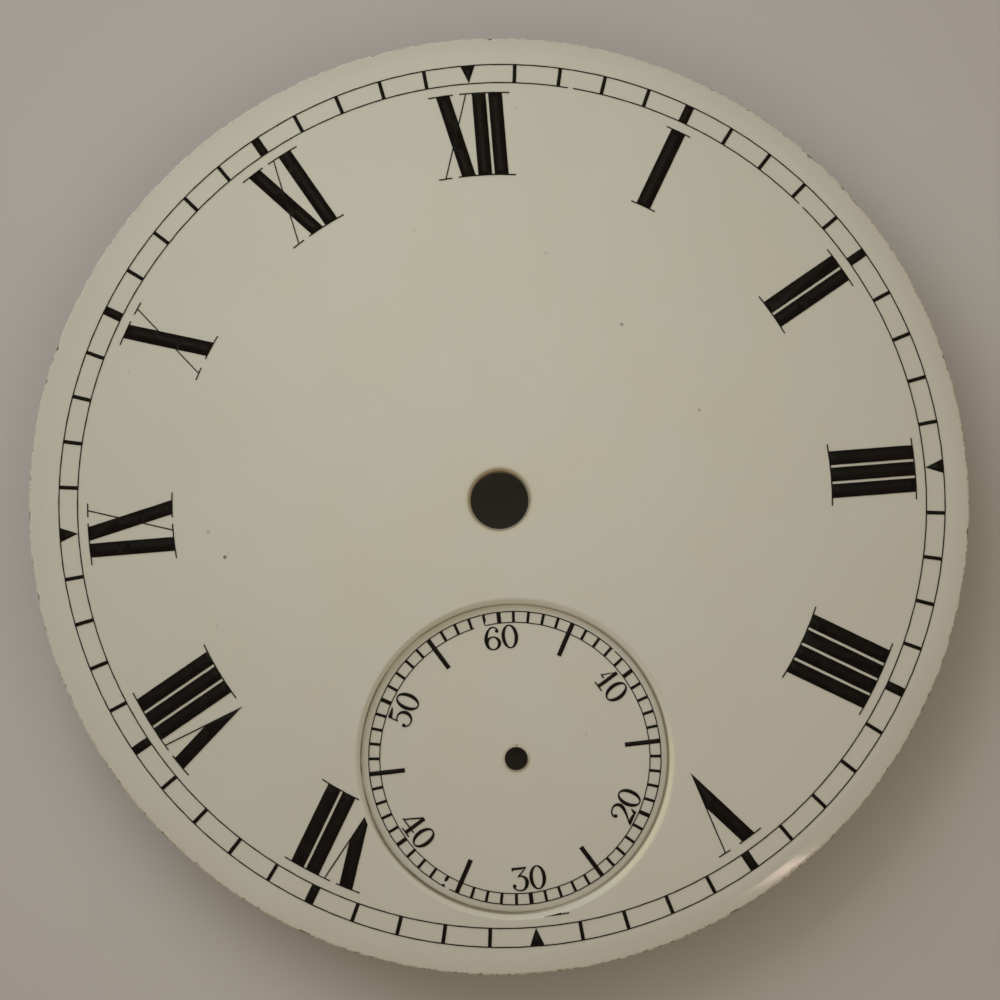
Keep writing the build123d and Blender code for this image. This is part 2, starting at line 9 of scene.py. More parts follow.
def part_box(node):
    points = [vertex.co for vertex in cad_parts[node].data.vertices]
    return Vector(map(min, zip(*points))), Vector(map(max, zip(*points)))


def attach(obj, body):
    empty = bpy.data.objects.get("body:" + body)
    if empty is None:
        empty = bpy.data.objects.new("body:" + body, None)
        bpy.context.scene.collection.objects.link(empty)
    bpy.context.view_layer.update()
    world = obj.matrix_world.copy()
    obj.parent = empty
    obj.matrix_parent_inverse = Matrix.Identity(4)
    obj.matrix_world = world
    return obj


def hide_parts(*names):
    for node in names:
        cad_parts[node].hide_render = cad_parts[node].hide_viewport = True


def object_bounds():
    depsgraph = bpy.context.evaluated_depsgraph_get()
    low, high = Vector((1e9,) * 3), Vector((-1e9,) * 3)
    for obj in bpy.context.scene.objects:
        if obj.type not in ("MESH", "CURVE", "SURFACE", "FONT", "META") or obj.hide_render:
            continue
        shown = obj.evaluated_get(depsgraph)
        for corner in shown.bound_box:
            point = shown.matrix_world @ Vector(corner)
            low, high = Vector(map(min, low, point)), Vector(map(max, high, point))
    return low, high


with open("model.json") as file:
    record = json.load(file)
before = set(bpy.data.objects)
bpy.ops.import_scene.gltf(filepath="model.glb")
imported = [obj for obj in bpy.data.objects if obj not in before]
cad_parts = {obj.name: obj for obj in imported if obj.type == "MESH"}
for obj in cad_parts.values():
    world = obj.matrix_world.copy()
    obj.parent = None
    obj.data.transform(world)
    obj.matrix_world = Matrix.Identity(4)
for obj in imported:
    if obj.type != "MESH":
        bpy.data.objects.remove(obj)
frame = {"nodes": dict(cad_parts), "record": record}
cad_low, cad_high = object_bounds()
mm = 0.001
up = Vector((0, 0, 1))

# The view
# The dial is seen from nearly straight above its seconds dial, at a little over its own width
# times three, so that the far walls of its bores just show.
camera_place = Vector((-1.798, -11.418, 135.22)) * mm
camera_turn = (0.0856, -0.0070, -0.0765)
camera_lens = 105.04

view = bpy.data.cameras.new("view")
view.lens = camera_lens
view.sensor_width = 36
view.clip_start = 10 * mm
camera = bpy.data.objects.new("view", view)
camera.location = camera_place
camera.rotation_euler = camera_turn
bpy.context.scene.collection.objects.link(camera)
bpy.context.scene.camera = camera


# The copper plate
# One disc of thin copper carries the whole dial. Its edge is turned up into a low wall that holds
# the enamel, and a collar is raised round the centre bore. Firing has browned it.
plate_low, plate_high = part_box("dial_plate")
enamel_low, enamel_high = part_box("dial_enamel")
disc_low, disc_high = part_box("seconds_enamel")
mounts = {mount["name"]: mount for mount in frame["record"]["mounts"]}
dial_radius = plate_high.x
plate_back = plate_low.z
collar_top = plate_high.z
plate_front = enamel_low.z
bore_radius = mounts["centre_bore"]["dims"]["r_mm"] * mm
rim_wall = 0.16 * mm
rim_height = 0.20 * mm
rim_corner = 0.10 * mm
collar_wall = 0.09 * mm
lip_round = 0.015 * mm
lip_slope = 0.065 * mm
seconds_fit = 0.03 * mm
rim_steps = 2880
opening_steps = 720
bore_steps = 240
spin_sectors = 24
merge_distance = 0.0002 * mm
level_margin = 0.002 * mm
sharp_angle = math.radians(35)
dial_centre = Vector((0, 0, 0))
opening_centre = Vector(((disc_low.x + disc_high.x) / 2, (disc_low.y + disc_high.y) / 2, 0))
opening_radius = (disc_high.x - disc_low.x) / 2 + seconds_fit
rim_top = plate_front + rim_height
rim_inner = dial_radius - rim_wall
collar_outer = bore_radius + collar_wall


def roll(middle_radius, middle_height, width, height, start, end, steps=8):
    """Points of a profile's round stretch, between two angles in degrees."""
    angles = [math.radians(start + (end - start) * step / steps) for step in range(steps + 1)]
    return [(middle_radius + width * math.cos(a), middle_height + height * math.sin(a)) for a in angles]


def spin_profile(bm, profile, centre, steps, closed=False):
    """Spins a profile of (radius, height) points about an upright axis: a sector, and then copies of it."""
    wall = bmesh.new()
    corners = [wall.verts.new((centre.x + radius, centre.y, height)) for radius, height in profile]
    edges = [wall.edges.new(pair) for pair in zip(corners, corners[1:])]
    if closed:
        edges.append(wall.edges.new((corners[-1], corners[0])))
    sector = math.tau / spin_sectors
    bmesh.ops.spin(wall, geom=corners + edges, cent=centre, axis=up, angle=sector,
                   steps=steps // spin_sectors)
    bmesh.ops.spin(wall, geom=wall.verts[:] + wall.edges[:] + wall.faces[:], cent=centre, axis=up,
                   angle=math.tau - sector, steps=spin_sectors - 1, use_duplicate=True)
    bmesh.ops.remove_doubles(wall, verts=wall.verts, dist=merge_distance)
    mesh = bpy.data.meshes.new("wall")
    wall.to_mesh(mesh)
    wall.free()
    bm.from_mesh(mesh)
    bpy.data.meshes.remove(mesh)


def fill_level(bm, level):
    """Closes a flat face at one height between the edges that the spun walls leave open."""
    rims = [e for e in bm.edges
            if e.is_boundary and all(abs(v.co.z - level) < level_margin for v in e.verts)]
    bmesh.ops.triangle_fill(bm, use_beauty=True, use_dissolve=False, edges=rims, normal=up)


def finished_piece(bm, name, nodes, material):
    """Makes a piece of a finished mesh: it rides on the dial and stands for its CAD nodes."""
    bmesh.ops.remove_doubles(bm, verts=bm.verts, dist=merge_distance)
    bmesh.ops.recalc_face_normals(bm, faces=bm.faces)
    mesh = bpy.data.meshes.new(name)
    bm.to_mesh(mesh)
    bm.free()
    mesh.shade_smooth()
    mesh.set_sharp_from_angle(angle=sharp_angle)
    mesh.materials.append(material)
    piece = bpy.data.objects.new(name, mesh)
    bpy.context.scene.collection.objects.link(piece)
    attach(piece, "root")
    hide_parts(*nodes)


def add_node(tree, kind, inputs=(), **settings):
    """Adds a shader node. An input takes a number, a colour or another node's socket."""
    node = tree.nodes.new(kind)
    for setting, value in settings.items():
        setattr(node, setting, value)
    for socket, value in dict(inputs).items():
        if isinstance(value, bpy.types.NodeSocket):
            tree.links.new(value, node.inputs[socket])
        else:
            node.inputs[socket].default_value = value
    return node


def mix_colours(tree, share, first, second):
    """Mixes two colours by a share from 0 to 1 and gives the result's socket."""
    node = add_node(tree, "ShaderNodeMix", {0: share, 6: first, 7: second}, data_type="RGBA")
    return node.outputs[2]


def mix_numbers(tree, share, first, second):
    """Mixes two numbers by a share from 0 to 1 and gives the result's socket."""
    return add_node(tree, "ShaderNodeMix", {0: share, 2: first, 3: second}, data_type="FLOAT").outputs[0]


def multiply(tree, first, second):
    """Multiplies two numbers and gives the result's socket."""
    return add_node(tree, "ShaderNodeMath", {0: first, 1: second}, operation="MULTIPLY").outputs[0]


def opaque(red, green, blue):
    """A colour with full alpha."""
    return (red, green, blue, 1.0)


def new_group(name, inputs, output):
    """Starts a node group with named inputs, each with its first value, and one output."""
    group = bpy.data.node_groups.new(name, "ShaderNodeTree")
    for socket, value in inputs.items():
        kind = "NodeSocketFloat" if isinstance(value, float) else "NodeSocketVector"
        group.interface.new_socket(name=socket, in_out="INPUT", socket_type=kind).default_value = value
    group.interface.new_socket(name=output, in_out="OUTPUT", socket_type="NodeSocketFloat")
    return group, group.nodes.new("NodeGroupInput"), group.nodes.new("NodeGroupOutput")


def place_in_mm(tree):
    """The socket of a surface point's place on the object, in millimetres."""
    place = add_node(tree, "ShaderNodeTexCoord").outputs["Object"]
    return add_node(tree, "ShaderNodeVectorMath", {0: place, "Scale": 1000.0}, operation="SCALE").outputs[0]


def use_group(tree, group, inputs):
    """Places a node group in a material with its own values and gives its output's socket."""
    node = add_node(tree, "ShaderNodeGroup", node_tree=group)
    for socket, value in inputs.items():
        if isinstance(value, bpy.types.NodeSocket):
            tree.links.new(value, node.inputs[socket])
        else:
            node.inputs[socket].default_value = value
    return node.outputs[0]


def new_material(name):
    """A material with its node tree and its one shader."""
    material = bpy.data.materials.new(name)
    material.use_nodes = True
    return material, material.node_tree, material.node_tree.nodes["Principled BSDF"]


# Patches of another tone, such as oxide or grime: their size in millimetres and the share covered
patches, group_in, group_out = new_group(
    "patches", {"Size": 1.0, "Cover": 0.5, "Softness": 0.1}, "Mask")
pattern_scale = add_node(patches, "ShaderNodeMath", {
    0: 1.0, 1: group_in.outputs["Size"],
}, operation="DIVIDE")
clouds = add_node(patches, "ShaderNodeTexNoise", {
    "Vector": place_in_mm(patches), "Scale": pattern_scale.outputs[0], "Detail": 4.0, "Roughness": 0.55,
})
edge_low = add_node(patches, "ShaderNodeMath", {
    0: group_in.outputs["Cover"], 1: group_in.outputs["Softness"],
}, operation="ADD")
edge_high = add_node(patches, "ShaderNodeMath", {
    0: group_in.outputs["Cover"], 1: group_in.outputs["Softness"],
}, operation="SUBTRACT")
mask = add_node(patches, "ShaderNodeMapRange", {
    "Value": clouds.outputs[0], "From Min": edge_low.outputs[0], "From Max": edge_high.outputs[0],
}, interpolation_type="SMOOTHSTEP")
patches.links.new(mask.outputs[0], group_out.inputs["Mask"])

# A band that grows towards a radius about an axis, all in millimetres
ring_band, group_in, group_out = new_group(
    "ring_band", {"Axis": (0.0, 0.0, 0.0), "Radius": 1.0, "Start": 0.5}, "Mask")
flat_place = add_node(ring_band, "ShaderNodeVectorMath", {
    0: place_in_mm(ring_band), 1: (1.0, 1.0, 0.0),
}, operation="MULTIPLY")
distance = add_node(ring_band, "ShaderNodeVectorMath", {
    0: flat_place.outputs[0], 1: group_in.outputs["Axis"],
}, operation="DISTANCE")
mask = add_node(ring_band, "ShaderNodeMapRange", {
    "Value": distance.outputs["Value"], "From Min": group_in.outputs["Start"],
    "From Max": group_in.outputs["Radius"],
}, interpolation_type="SMOOTHSTEP")
ring_band.links.new(mask.outputs[0], group_out.inputs["Mask"])

# How far a place lies towards one side of an axis, from 0 to 1. The side's third number is added to
# the measure, so that a long side with a number below zero takes in a narrower stretch
side_lowest = -0.3
side_full = 0.8
side_share, group_in, group_out = new_group(
    "side_share", {"Axis": (0.0, 0.0, 0.0), "Side": (1.0, 0.0, 0.0)}, "Mask")
from_axis = add_node(side_share, "ShaderNodeVectorMath", {
    0: place_in_mm(side_share), 1: group_in.outputs["Axis"],
}, operation="SUBTRACT")
flat_place = add_node(side_share, "ShaderNodeVectorMath", {
    0: from_axis.outputs[0], 1: (1.0, 1.0, 0.0),
}, operation="MULTIPLY")
outwards = add_node(side_share, "ShaderNodeVectorMath", {0: flat_place.outputs[0]}, operation="NORMALIZE")
raised = add_node(side_share, "ShaderNodeVectorMath", {
    0: outwards.outputs[0], 1: (0.0, 0.0, 1.0),
}, operation="ADD")
lean = add_node(side_share, "ShaderNodeVectorMath", {
    0: raised.outputs[0], 1: group_in.outputs["Side"],
}, operation="DOT_PRODUCT")
mask = add_node(side_share, "ShaderNodeMapRange", {
    "Value": lean.outputs["Value"], "From Min": side_lowest, "From Max": side_full,
}, interpolation_type="SMOOTHSTEP")
side_share.links.new(mask.outputs[0], group_out.inputs["Mask"])

# Small unevenness of a surface, as a height from 0 to 1
grain, group_in, group_out = new_group("grain", {"Size": 0.2, "Detail": 2.0}, "Height")
pattern_scale = add_node(grain, "ShaderNodeMath", {
    0: 1.0, 1: group_in.outputs["Size"],
}, operation="DIVIDE")
bumps = add_node(grain, "ShaderNodeTexNoise", {
    "Vector": place_in_mm(grain), "Scale": pattern_scale.outputs[0],
    "Detail": group_in.outputs["Detail"],
})
grain.links.new(bumps.outputs[0], group_out.inputs["Height"])


def bumped(tree, height, depth):
    """The normal of a surface whose unevenness has a depth in millimetres."""
    bump = add_node(tree, "ShaderNodeBump", {"Height": height, "Distance": depth * mm, "Strength": 1.0})
    return bump.outputs[0]


oxide_size = 0.9
oxide_softness = 0.12
oxide_roughness = 0.22
oxide_metallic = 0.2


def metal_material(name, bright, dark, cover, roughness, grain_size, grain_depth, burnt=()):
    """A bare metal with darker patches of oxide, which close up where it was burnt, and a fine grain.

    A burnt band is an axis, its start and end radius in millimetres, a side, and the tones there and
    on the other side.
    """
    material, tree, shader = new_material(name)
    oxide = use_group(tree, patches, {"Size": oxide_size, "Cover": cover, "Softness": oxide_softness})
    colour = mix_colours(tree, oxide, opaque(*bright), opaque(*dark))
    for axis, start, end, side, near_tone, far_tone in burnt:
        band = use_group(tree, ring_band, {"Axis": axis, "Start": start, "Radius": end})
        lean = use_group(tree, side_share, {"Axis": axis, "Side": side})
        burnt_tone = mix_colours(tree, lean, opaque(*far_tone), opaque(*near_tone))
        colour = mix_colours(tree, band, colour, burnt_tone)
        oxide = mix_numbers(tree, band, oxide, 1.0)
    tree.links.new(colour, shader.inputs["Base Color"])
    dull = roughness + oxide_roughness
    tree.links.new(mix_numbers(tree, oxide, roughness, dull), shader.inputs["Roughness"])
    height = use_group(tree, grain, {"Size": grain_size, "Detail": 3.0})
    tree.links.new(bumped(tree, height, grain_depth), shader.inputs["Normal"])
    tree.links.new(mix_numbers(tree, oxide, 1.0, oxide_metallic), shader.inputs["Metallic"])
    return material


copper_bright = (0.66, 0.36, 0.22)
copper_dark = (0.17, 0.115, 0.065)
lip_tan = (0.42, 0.315, 0.19)
lip_pale = (0.37, 0.34, 0.235)
rim_scale = (0.20, 0.165, 0.11)
dial_axis = (0.0, 0.0, 0.0)
collar_mm = collar_outer / mm
rim_mm = dial_radius / mm
copper = metal_material("fired_copper", copper_bright, copper_dark, cover=0.52, roughness=0.34,
                        grain_size=0.08, grain_depth=0.004, burnt=[
    (dial_axis, collar_mm + 0.25, collar_mm + 0.05, (-0.6, 1.0, 0.0), lip_tan, lip_pale),
    (dial_axis, rim_mm - 0.40, rim_mm - 0.25, (1.0, 0.0, 0.0), rim_scale, rim_scale),
])

bm = bmesh.new()
spin_profile(bm, [
    (rim_inner - rim_wall, plate_front),
    (rim_inner, plate_front),
    (rim_inner, rim_top),
    (dial_radius, rim_top),
    *roll(dial_radius - rim_corner, plate_back + rim_corner, rim_corner, rim_corner, 0, -90, 6),
    (dial_radius - rim_wall, plate_back),
], dial_centre, rim_steps // 2)
spin_profile(bm, [
    (collar_outer, plate_front),
    (collar_outer, collar_top - lip_round),
    *roll(collar_outer - lip_round, collar_top - lip_round, lip_round, lip_round, 0, 90, 4),
    *roll(bore_radius + lip_slope, collar_top - lip_slope, lip_slope, lip_slope, 90, 180, 6),
    (bore_radius, plate_back),
], dial_centre, bore_steps)
spin_profile(bm, [
    (opening_radius, plate_front),
    (opening_radius, plate_back),
], opening_centre, opening_steps)
fill_level(bm, plate_front)
fill_level(bm, plate_back)
finished_piece(bm, "copper_plate", ["dial_plate"], copper)


# The feet
# Three copper pins that hold the dial to the movement. Each is turned, stood on the bare back of
# the plate and brazed there, and the dial screws have marked it half way down.
foot_names = ["dial_foot_a", "dial_foot_b", "dial_foot_c"]
foot_chamfer = 0.08 * mm
screw_mark_depth = 0.03 * mm
screw_mark_height = 0.30 * mm
foot_steps = 72

for node in foot_names:
    low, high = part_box(node)
    foot_radius = (high.x - low.x) / 2
    foot_centre = Vector(((low.x + high.x) / 2, (low.y + high.y) / 2, 0))
    mark_middle = low.z / 2
    bm = bmesh.new()
    spin_profile(bm, [
        (0, high.z),
        (foot_radius, high.z),
        (foot_radius, mark_middle + screw_mark_height / 2),
        (foot_radius - screw_mark_depth, mark_middle + screw_mark_height / 4),
        (foot_radius - screw_mark_depth, mark_middle - screw_mark_height / 4),
        (foot_radius, mark_middle - screw_mark_height / 2),
        (foot_radius, low.z + foot_chamfer),
        (foot_radius - foot_chamfer / 3, low.z + foot_chamfer / 3),
        (foot_radius - foot_chamfer, low.z),
        (0, low.z),
    ], foot_centre, foot_steps)
    finished_piece(bm, f"{node}_turned", [node], copper)


# The brazing at the feet
# A small fillet of brass run round the root of each foot, dull with scale, in the pocket that the
# counter enamel leaves open there.
braze_neck = 0.08 * mm
braze_unevenness = 0.02 * mm
braze_wave_size = 0.4 * mm
brass_bright = (0.60, 0.42, 0.24)
brass_dark = (0.24, 0.15, 0.09)
brazing = metal_material("dull_brazing", brass_bright, brass_dark, cover=0.55, roughness=0.45,
                         grain_size=0.12, grain_depth=0.010)

for node in foot_names:
    fillet_node = node.replace("dial_foot", "foot_solder")
    low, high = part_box(fillet_node)
    foot_low, foot_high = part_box(node)
    foot_radius = (foot_high.x - foot_low.x) / 2
    fillet_centre = Vector(((low.x + high.x) / 2, (low.y + high.y) / 2, 0))
    fillet_radius = (high.x - low.x) / 2
    fillet_width = fillet_radius - foot_radius - braze_neck
    bm = bmesh.new()
    spin_profile(bm, [
        (foot_radius, low.z),
        (foot_radius, high.z),
        *roll(fillet_radius, low.z, fillet_width, high.z - low.z, 90, 180),
    ], fillet_centre, foot_steps, closed=True)
    for vert in bm.verts:
        if vert.co.z < high.z - braze_neck / 4:
            vert.co.z += braze_unevenness * (0.5 + noise.noise(vert.co / braze_wave_size))
    finished_piece(bm, f"{fillet_node}_fillet", [fillet_node], brazing)


# The counter enamel
# Fired on the back so that the dial stays flat, from the coarser left-over enamel: greyer, dotted
# and matt. It is ground away round the seconds opening, and left open in pockets round the feet.
solder_lap = 0.64 * mm
solder_clearance = 0.06 * mm
back_roll_width = 0.40 * mm
back_roll_height = 0.15 * mm
pocket_clearance = 0.15 * mm
ground_unevenness = 0.035 * mm
ground_wave_size = 0.7 * mm
pocket_edge_round = 0.04 * mm

bm = bmesh.new()
back_roll_start = dial_radius - back_roll_width
spin_profile(bm, [
    (back_roll_start - back_roll_width, 0),
    *roll(back_roll_start, back_roll_height, back_roll_width - rim_corner, back_roll_height, -90, 0),
    (dial_radius - rim_corner, plate_back),
], dial_centre, rim_steps // 2)


def open_wall(bm, radius, centre, steps):
    """The wall of an opening through the counter enamel, with a softened and slightly uneven edge."""
    before = set(bm.verts)
    spin_profile(bm, [
        (radius + 2 * pocket_edge_round, 0),
        *roll(radius + pocket_edge_round, pocket_edge_round, pocket_edge_round,
              pocket_edge_round, 270, 180, 3),
        (radius, plate_back),
    ], centre, steps)
    for vert in set(bm.verts) - before:
        outwards = (vert.co - centre) * Vector((1, 1, 0))
        wave = abs(noise.noise(vert.co / ground_wave_size))
        vert.co += outwards.normalized() * ground_unevenness * wave


open_wall(bm, bore_radius, dial_centre, bore_steps)
open_wall(bm, opening_radius + solder_lap + solder_clearance, opening_centre, opening_steps)
for node in foot_names:
    low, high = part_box(node.replace("dial_foot", "foot_solder"))
    pocket_centre = Vector(((low.x + high.x) / 2, (low.y + high.y) / 2, 0))
    open_wall(bm, (high.x - low.x) / 2 + pocket_clearance, pocket_centre, bore_steps)
fill_level(bm, 0)
fill_level(bm, plate_back)

counter_pale = (0.60, 0.585, 0.53)
counter_grey = (0.42, 0.41, 0.38)
counter_dots = (0.16, 0.13, 0.11)
counter_roughness = 0.38
matt_roughness = 0.55
counter_grain_depth = 0.05
counter_enamel, tree, shader = new_material("counter_enamel_fired")
tone = use_group(tree, patches, {"Size": 4.0, "Cover": 0.5, "Softness": 0.2})
dots = use_group(tree, patches, {"Size": 0.16, "Cover": 0.33, "Softness": 0.03})
colour = mix_colours(tree, tone, opaque(*counter_pale), opaque(*counter_grey))
tree.links.new(mix_colours(tree, dots, colour, opaque(*counter_dots)), shader.inputs["Base Color"])
tree.links.new(mix_numbers(tree, tone, counter_roughness, matt_roughness), shader.inputs["Roughness"])
height = use_group(tree, grain, {"Size": 0.35, "Detail": 4.0})
tree.links.new(bumped(tree, height, counter_grain_depth), shader.inputs["Normal"])
finished_piece(bm, "counter_enamel", ["dial_counter_enamel"], counter_enamel)


# The front enamel
# White enamel, sifted on, fired and polished. Its edge droops to the copper's rim and is nicked
# there, it dips to the collar, and a bevel was ground unevenly round the seconds opening.
front_face = enamel_high.z
rim_cover = 0.05 * mm
edge_roll_width = 0.85 * mm
edge_droop = 0.045 * mm
edge_round = 0.08 * mm
collar_roll_width = 0.16 * mm
bevel_width = 0.30 * mm
bevel_depth = 0.115 * mm
bevel_corner = 0.04 * mm
bevel_shoulder = 0.08 * mm
bevel_narrowest = 0.60
bevel_wide_side = Vector((math.sin(math.radians(125)), math.cos(math.radians(125)), 0))
flat_guard = 0.12 * mm
edge_wander = 0.060 * mm
wander_size = 0.9 * mm
edge_ripple = 0.110 * mm
ripple_size = 0.16 * mm
nick_depth = 0.20 * mm
nick_size = 0.33 * mm
nick_start = 0.28
bite_power = 6

bm = bmesh.new()
roll_start = dial_radius - edge_roll_width
droop_width = edge_roll_width - edge_round / 2
edge_tilt = math.atan(2 * edge_droop / droop_width)
edge_middle = front_face - edge_droop - edge_round * math.cos(edge_tilt)
droop_steps = 10
spin_profile(bm, [
    (roll_start - flat_guard, front_face),
    *[(roll_start + droop_width * step / droop_steps, front_face - edge_droop * (step / droop_steps) ** 2)
      for step in range(droop_steps)],
    *roll(dial_radius - edge_round, edge_middle, edge_round, edge_round,
          90 - math.degrees(edge_tilt), 0, 6),
    (dial_radius, rim_top),
    (rim_inner, rim_top),
    (rim_inner, plate_front),
], dial_centre, rim_steps)
for vert in bm.verts:
    radius = math.hypot(vert.co.x, vert.co.y)
    share = (radius - roll_start) / edge_roll_width
    if share > 0 and vert.co.z > rim_top - rim_cover:
        drift = edge_wander * max(0.0, noise.noise(vert.co / wander_size))
        drift += edge_ripple * max(0.0, noise.noise(vert.co / ripple_size))
        nick = nick_depth * max(0.0, noise.noise(vert.co / nick_size) - nick_start)
        inward = share ** bite_power * (drift + nick)
        vert.co.x -= vert.co.x / radius * inward
        vert.co.y -= vert.co.y / radius * inward
spin_profile(bm, [
    (collar_outer + collar_roll_width + flat_guard, front_face),
    *roll(collar_outer + collar_roll_width, collar_top, collar_roll_width,
          front_face - collar_top, 90, 180),
    (collar_outer, plate_front),
], dial_centre, bore_steps)
bevel_radius = opening_radius + bevel_width
before = set(bm.verts)
spin_profile(bm, [
    (bevel_radius + flat_guard, front_face),
    (bevel_radius + bevel_shoulder / 2, front_face),
    (bevel_radius - bevel_shoulder / 2, front_face - bevel_shoulder / 5),
    (opening_radius + bevel_corner, front_face - bevel_depth),
    (opening_radius + bevel_corner / 4, front_face - bevel_depth - bevel_corner / 2),
    (opening_radius, front_face - bevel_depth - 2 * bevel_corner),
    (opening_radius, plate_front),
], opening_centre, opening_steps)
for vert in set(bm.verts) - before:
    outwards = (vert.co - opening_centre) * Vector((1, 1, 0))
    beyond = outwards.length - opening_radius
    leaning = 0.5 - 0.5 * outwards.normalized().dot(bevel_wide_side)
    vert.co -= outwards.normalized() * beyond * (1 - bevel_narrowest) * leaning
fill_level(bm, front_face)
fill_level(bm, plate_front)

white_cream = (0.720, 0.677, 0.558)
white_shade = (0.706, 0.658, 0.532)
thin_yellow = (0.673, 0.598, 0.403)
bevel_painted_highlight = (0.882, 0.834, 0.585)
grime_olive = (0.29, 0.245, 0.15)
speck_brown = (0.09, 0.07, 0.05)
lip_painted_shade = (0.42, 0.35, 0.21)
everywhere = (1.0, 0.0, 0.0)
enamel_roughness = 0.29
smeared_roughness = 0.31
enamel_ripple_depth = 0.005
polished_roughness = 0.08
glossy_side = (3.36, -4.98, -5.0)
speck_core = 0.4
speck_halo = 1.5

# Specks fired into the enamel: x, y and radius in millimetres, and how strongly each shows
face_specks = [
    (-12.82, -1.68, 0.085, 0.95), (6.28, 7.72, 0.075, 0.75), (9.55, 3.46, 0.070, 0.45),
    (-13.50, -0.46, 0.090, 0.35), (3.03, 11.33, 0.080, 0.20), (-2.97, 12.83, 0.050, 0.18),
    (5.31, 0.13, 0.060, 0.14), (-13.42, -4.84, 0.070, 0.18), (-12.67, -1.50, 0.050, 0.25),
    (2.15, 18.28, 0.060, 0.20), (-12.30, 8.48, 0.060, 0.15), (-16.67, 7.21, 0.060, 0.15),
    (3.25, -0.62, 0.055, 0.12), (-17.68, -6.98, 0.060, 0.15),
]


def speckled(tree, colour, specks):
    """Lays small specks over an enamel's colour."""
    for x, y, radius, strength in specks:
        seen = use_group(tree, ring_band, {
            "Axis": (x, y, 0.0), "Radius": radius * speck_core, "Start": radius * speck_halo,
        })
        colour = mix_colours(tree, multiply(tree, seen, strength), colour, opaque(*speck_brown))
    return colour


def enamel_material(name, bands, specks, seams, edge_gloss=None):
    """Polished white enamel: other tones in bands, specks, dirty seams and a slight ripple.

    A band is an axis, its start and end radius in millimetres, its strength, its tone, the side where
    it is strongest and the least share that it keeps elsewhere. A seam has the size and the cover of
    its dirt in place of a strength and a tone. The edge's gloss has a roughness after its side.
    """
    material, tree, shader = new_material(name)
    clouds = use_group(tree, patches, {"Size": 5.0, "Cover": 0.5, "Softness": 0.25})
    colour = mix_colours(tree, clouds, opaque(*white_cream), opaque(*white_shade))
    for axis, start, end, strength, tone, side, least in bands:
        band = use_group(tree, ring_band, {"Axis": axis, "Radius": end, "Start": start})
        lean = use_group(tree, side_share, {"Axis": axis, "Side": side})
        share = multiply(tree, band, mix_numbers(tree, lean, strength * least, strength))
        colour = mix_colours(tree, share, colour, opaque(*tone))
    colour = speckled(tree, colour, specks)
    for axis, start, end, size, cover, side, least in seams:
        band = use_group(tree, ring_band, {"Axis": axis, "Radius": end, "Start": start})
        dirt = use_group(tree, patches, {"Size": size, "Cover": cover, "Softness": 0.10})
        lean = use_group(tree, side_share, {"Axis": axis, "Side": side})
        dirt = multiply(tree, dirt, mix_numbers(tree, lean, least, 1.0))
        colour = mix_colours(tree, multiply(tree, band, dirt), colour, opaque(*grime_olive))
    tree.links.new(colour, shader.inputs["Base Color"])
    smears = use_group(tree, patches, {"Size": 2.2, "Cover": 0.42, "Softness": 0.2})
    roughness = mix_numbers(tree, smears, enamel_roughness, smeared_roughness)
    if edge_gloss:
        axis, start, end, side, polish = edge_gloss
        band = use_group(tree, ring_band, {"Axis": axis, "Radius": end, "Start": start})
        lean = use_group(tree, side_share, {"Axis": axis, "Side": side})
        roughness = mix_numbers(tree, multiply(tree, band, lean), roughness, polish)
    tree.links.new(roughness, shader.inputs["Roughness"])
    height = use_group(tree, grain, {"Size": 1.6, "Detail": 1.0})
    tree.links.new(bumped(tree, height, enamel_ripple_depth), shader.inputs["Normal"])
    return material


opening_axis = tuple(opening_centre / mm)
opening_mm = opening_radius / mm
bevel_shift = bevel_width * (1 - bevel_narrowest) / 2
bevel_axis = tuple((opening_centre + bevel_wide_side * bevel_shift) / mm)
bevel_mm = (bevel_radius - bevel_shift) / mm
front_enamel = enamel_material(
    "white_enamel_fired",
    [
        (dial_axis, rim_mm - 0.30, rim_mm, 0.15, thin_yellow, everywhere, 1.0),
        (dial_axis, collar_mm + 0.35, collar_mm, 0.7, thin_yellow, everywhere, 1.0),
        # darker tan where the enamel dips to the collar, strongest on the upper-left side whose slope faces
        # away from the light: painted shade
        (dial_axis, collar_mm + 0.11, collar_mm - 0.02, 0.60, lip_painted_shade, (-0.6, 1.0, 0.0), 0.25),
        # pale yellow on the lower-right of the opening's bevel, the side that faces the light: a painted
        # highlight
        (bevel_axis, bevel_mm + 0.04, bevel_mm - 0.05, 0.95, bevel_painted_highlight, (4.0, -2.1, -3.6), 0.15),
    ],
    face_specks,
    [
        (dial_axis, rim_mm - 0.12, rim_mm - 0.02, 0.22, 0.46, (0.75, -0.66, 0.0), 0.5),
        (opening_axis, opening_mm + 0.13, opening_mm + 0.04, 2.0, 0.80, (-2.2, -3.4, -2.9), 0.0),
        (opening_axis, opening_mm + 0.11, opening_mm + 0.04, 2.0, 0.90, (0.9, -0.2, -0.1), 0.0),
        (dial_axis, collar_mm + 0.08, collar_mm - 0.01, 3.0, 0.45, (0.3, -0.95, 0.0), 0.0),
    ],
    edge_gloss=(dial_axis, rim_mm - 1.05, rim_mm - 0.80, glossy_side, polished_roughness),
)
finished_piece(bm, "front_enamel", ["dial_enamel"], front_enamel)


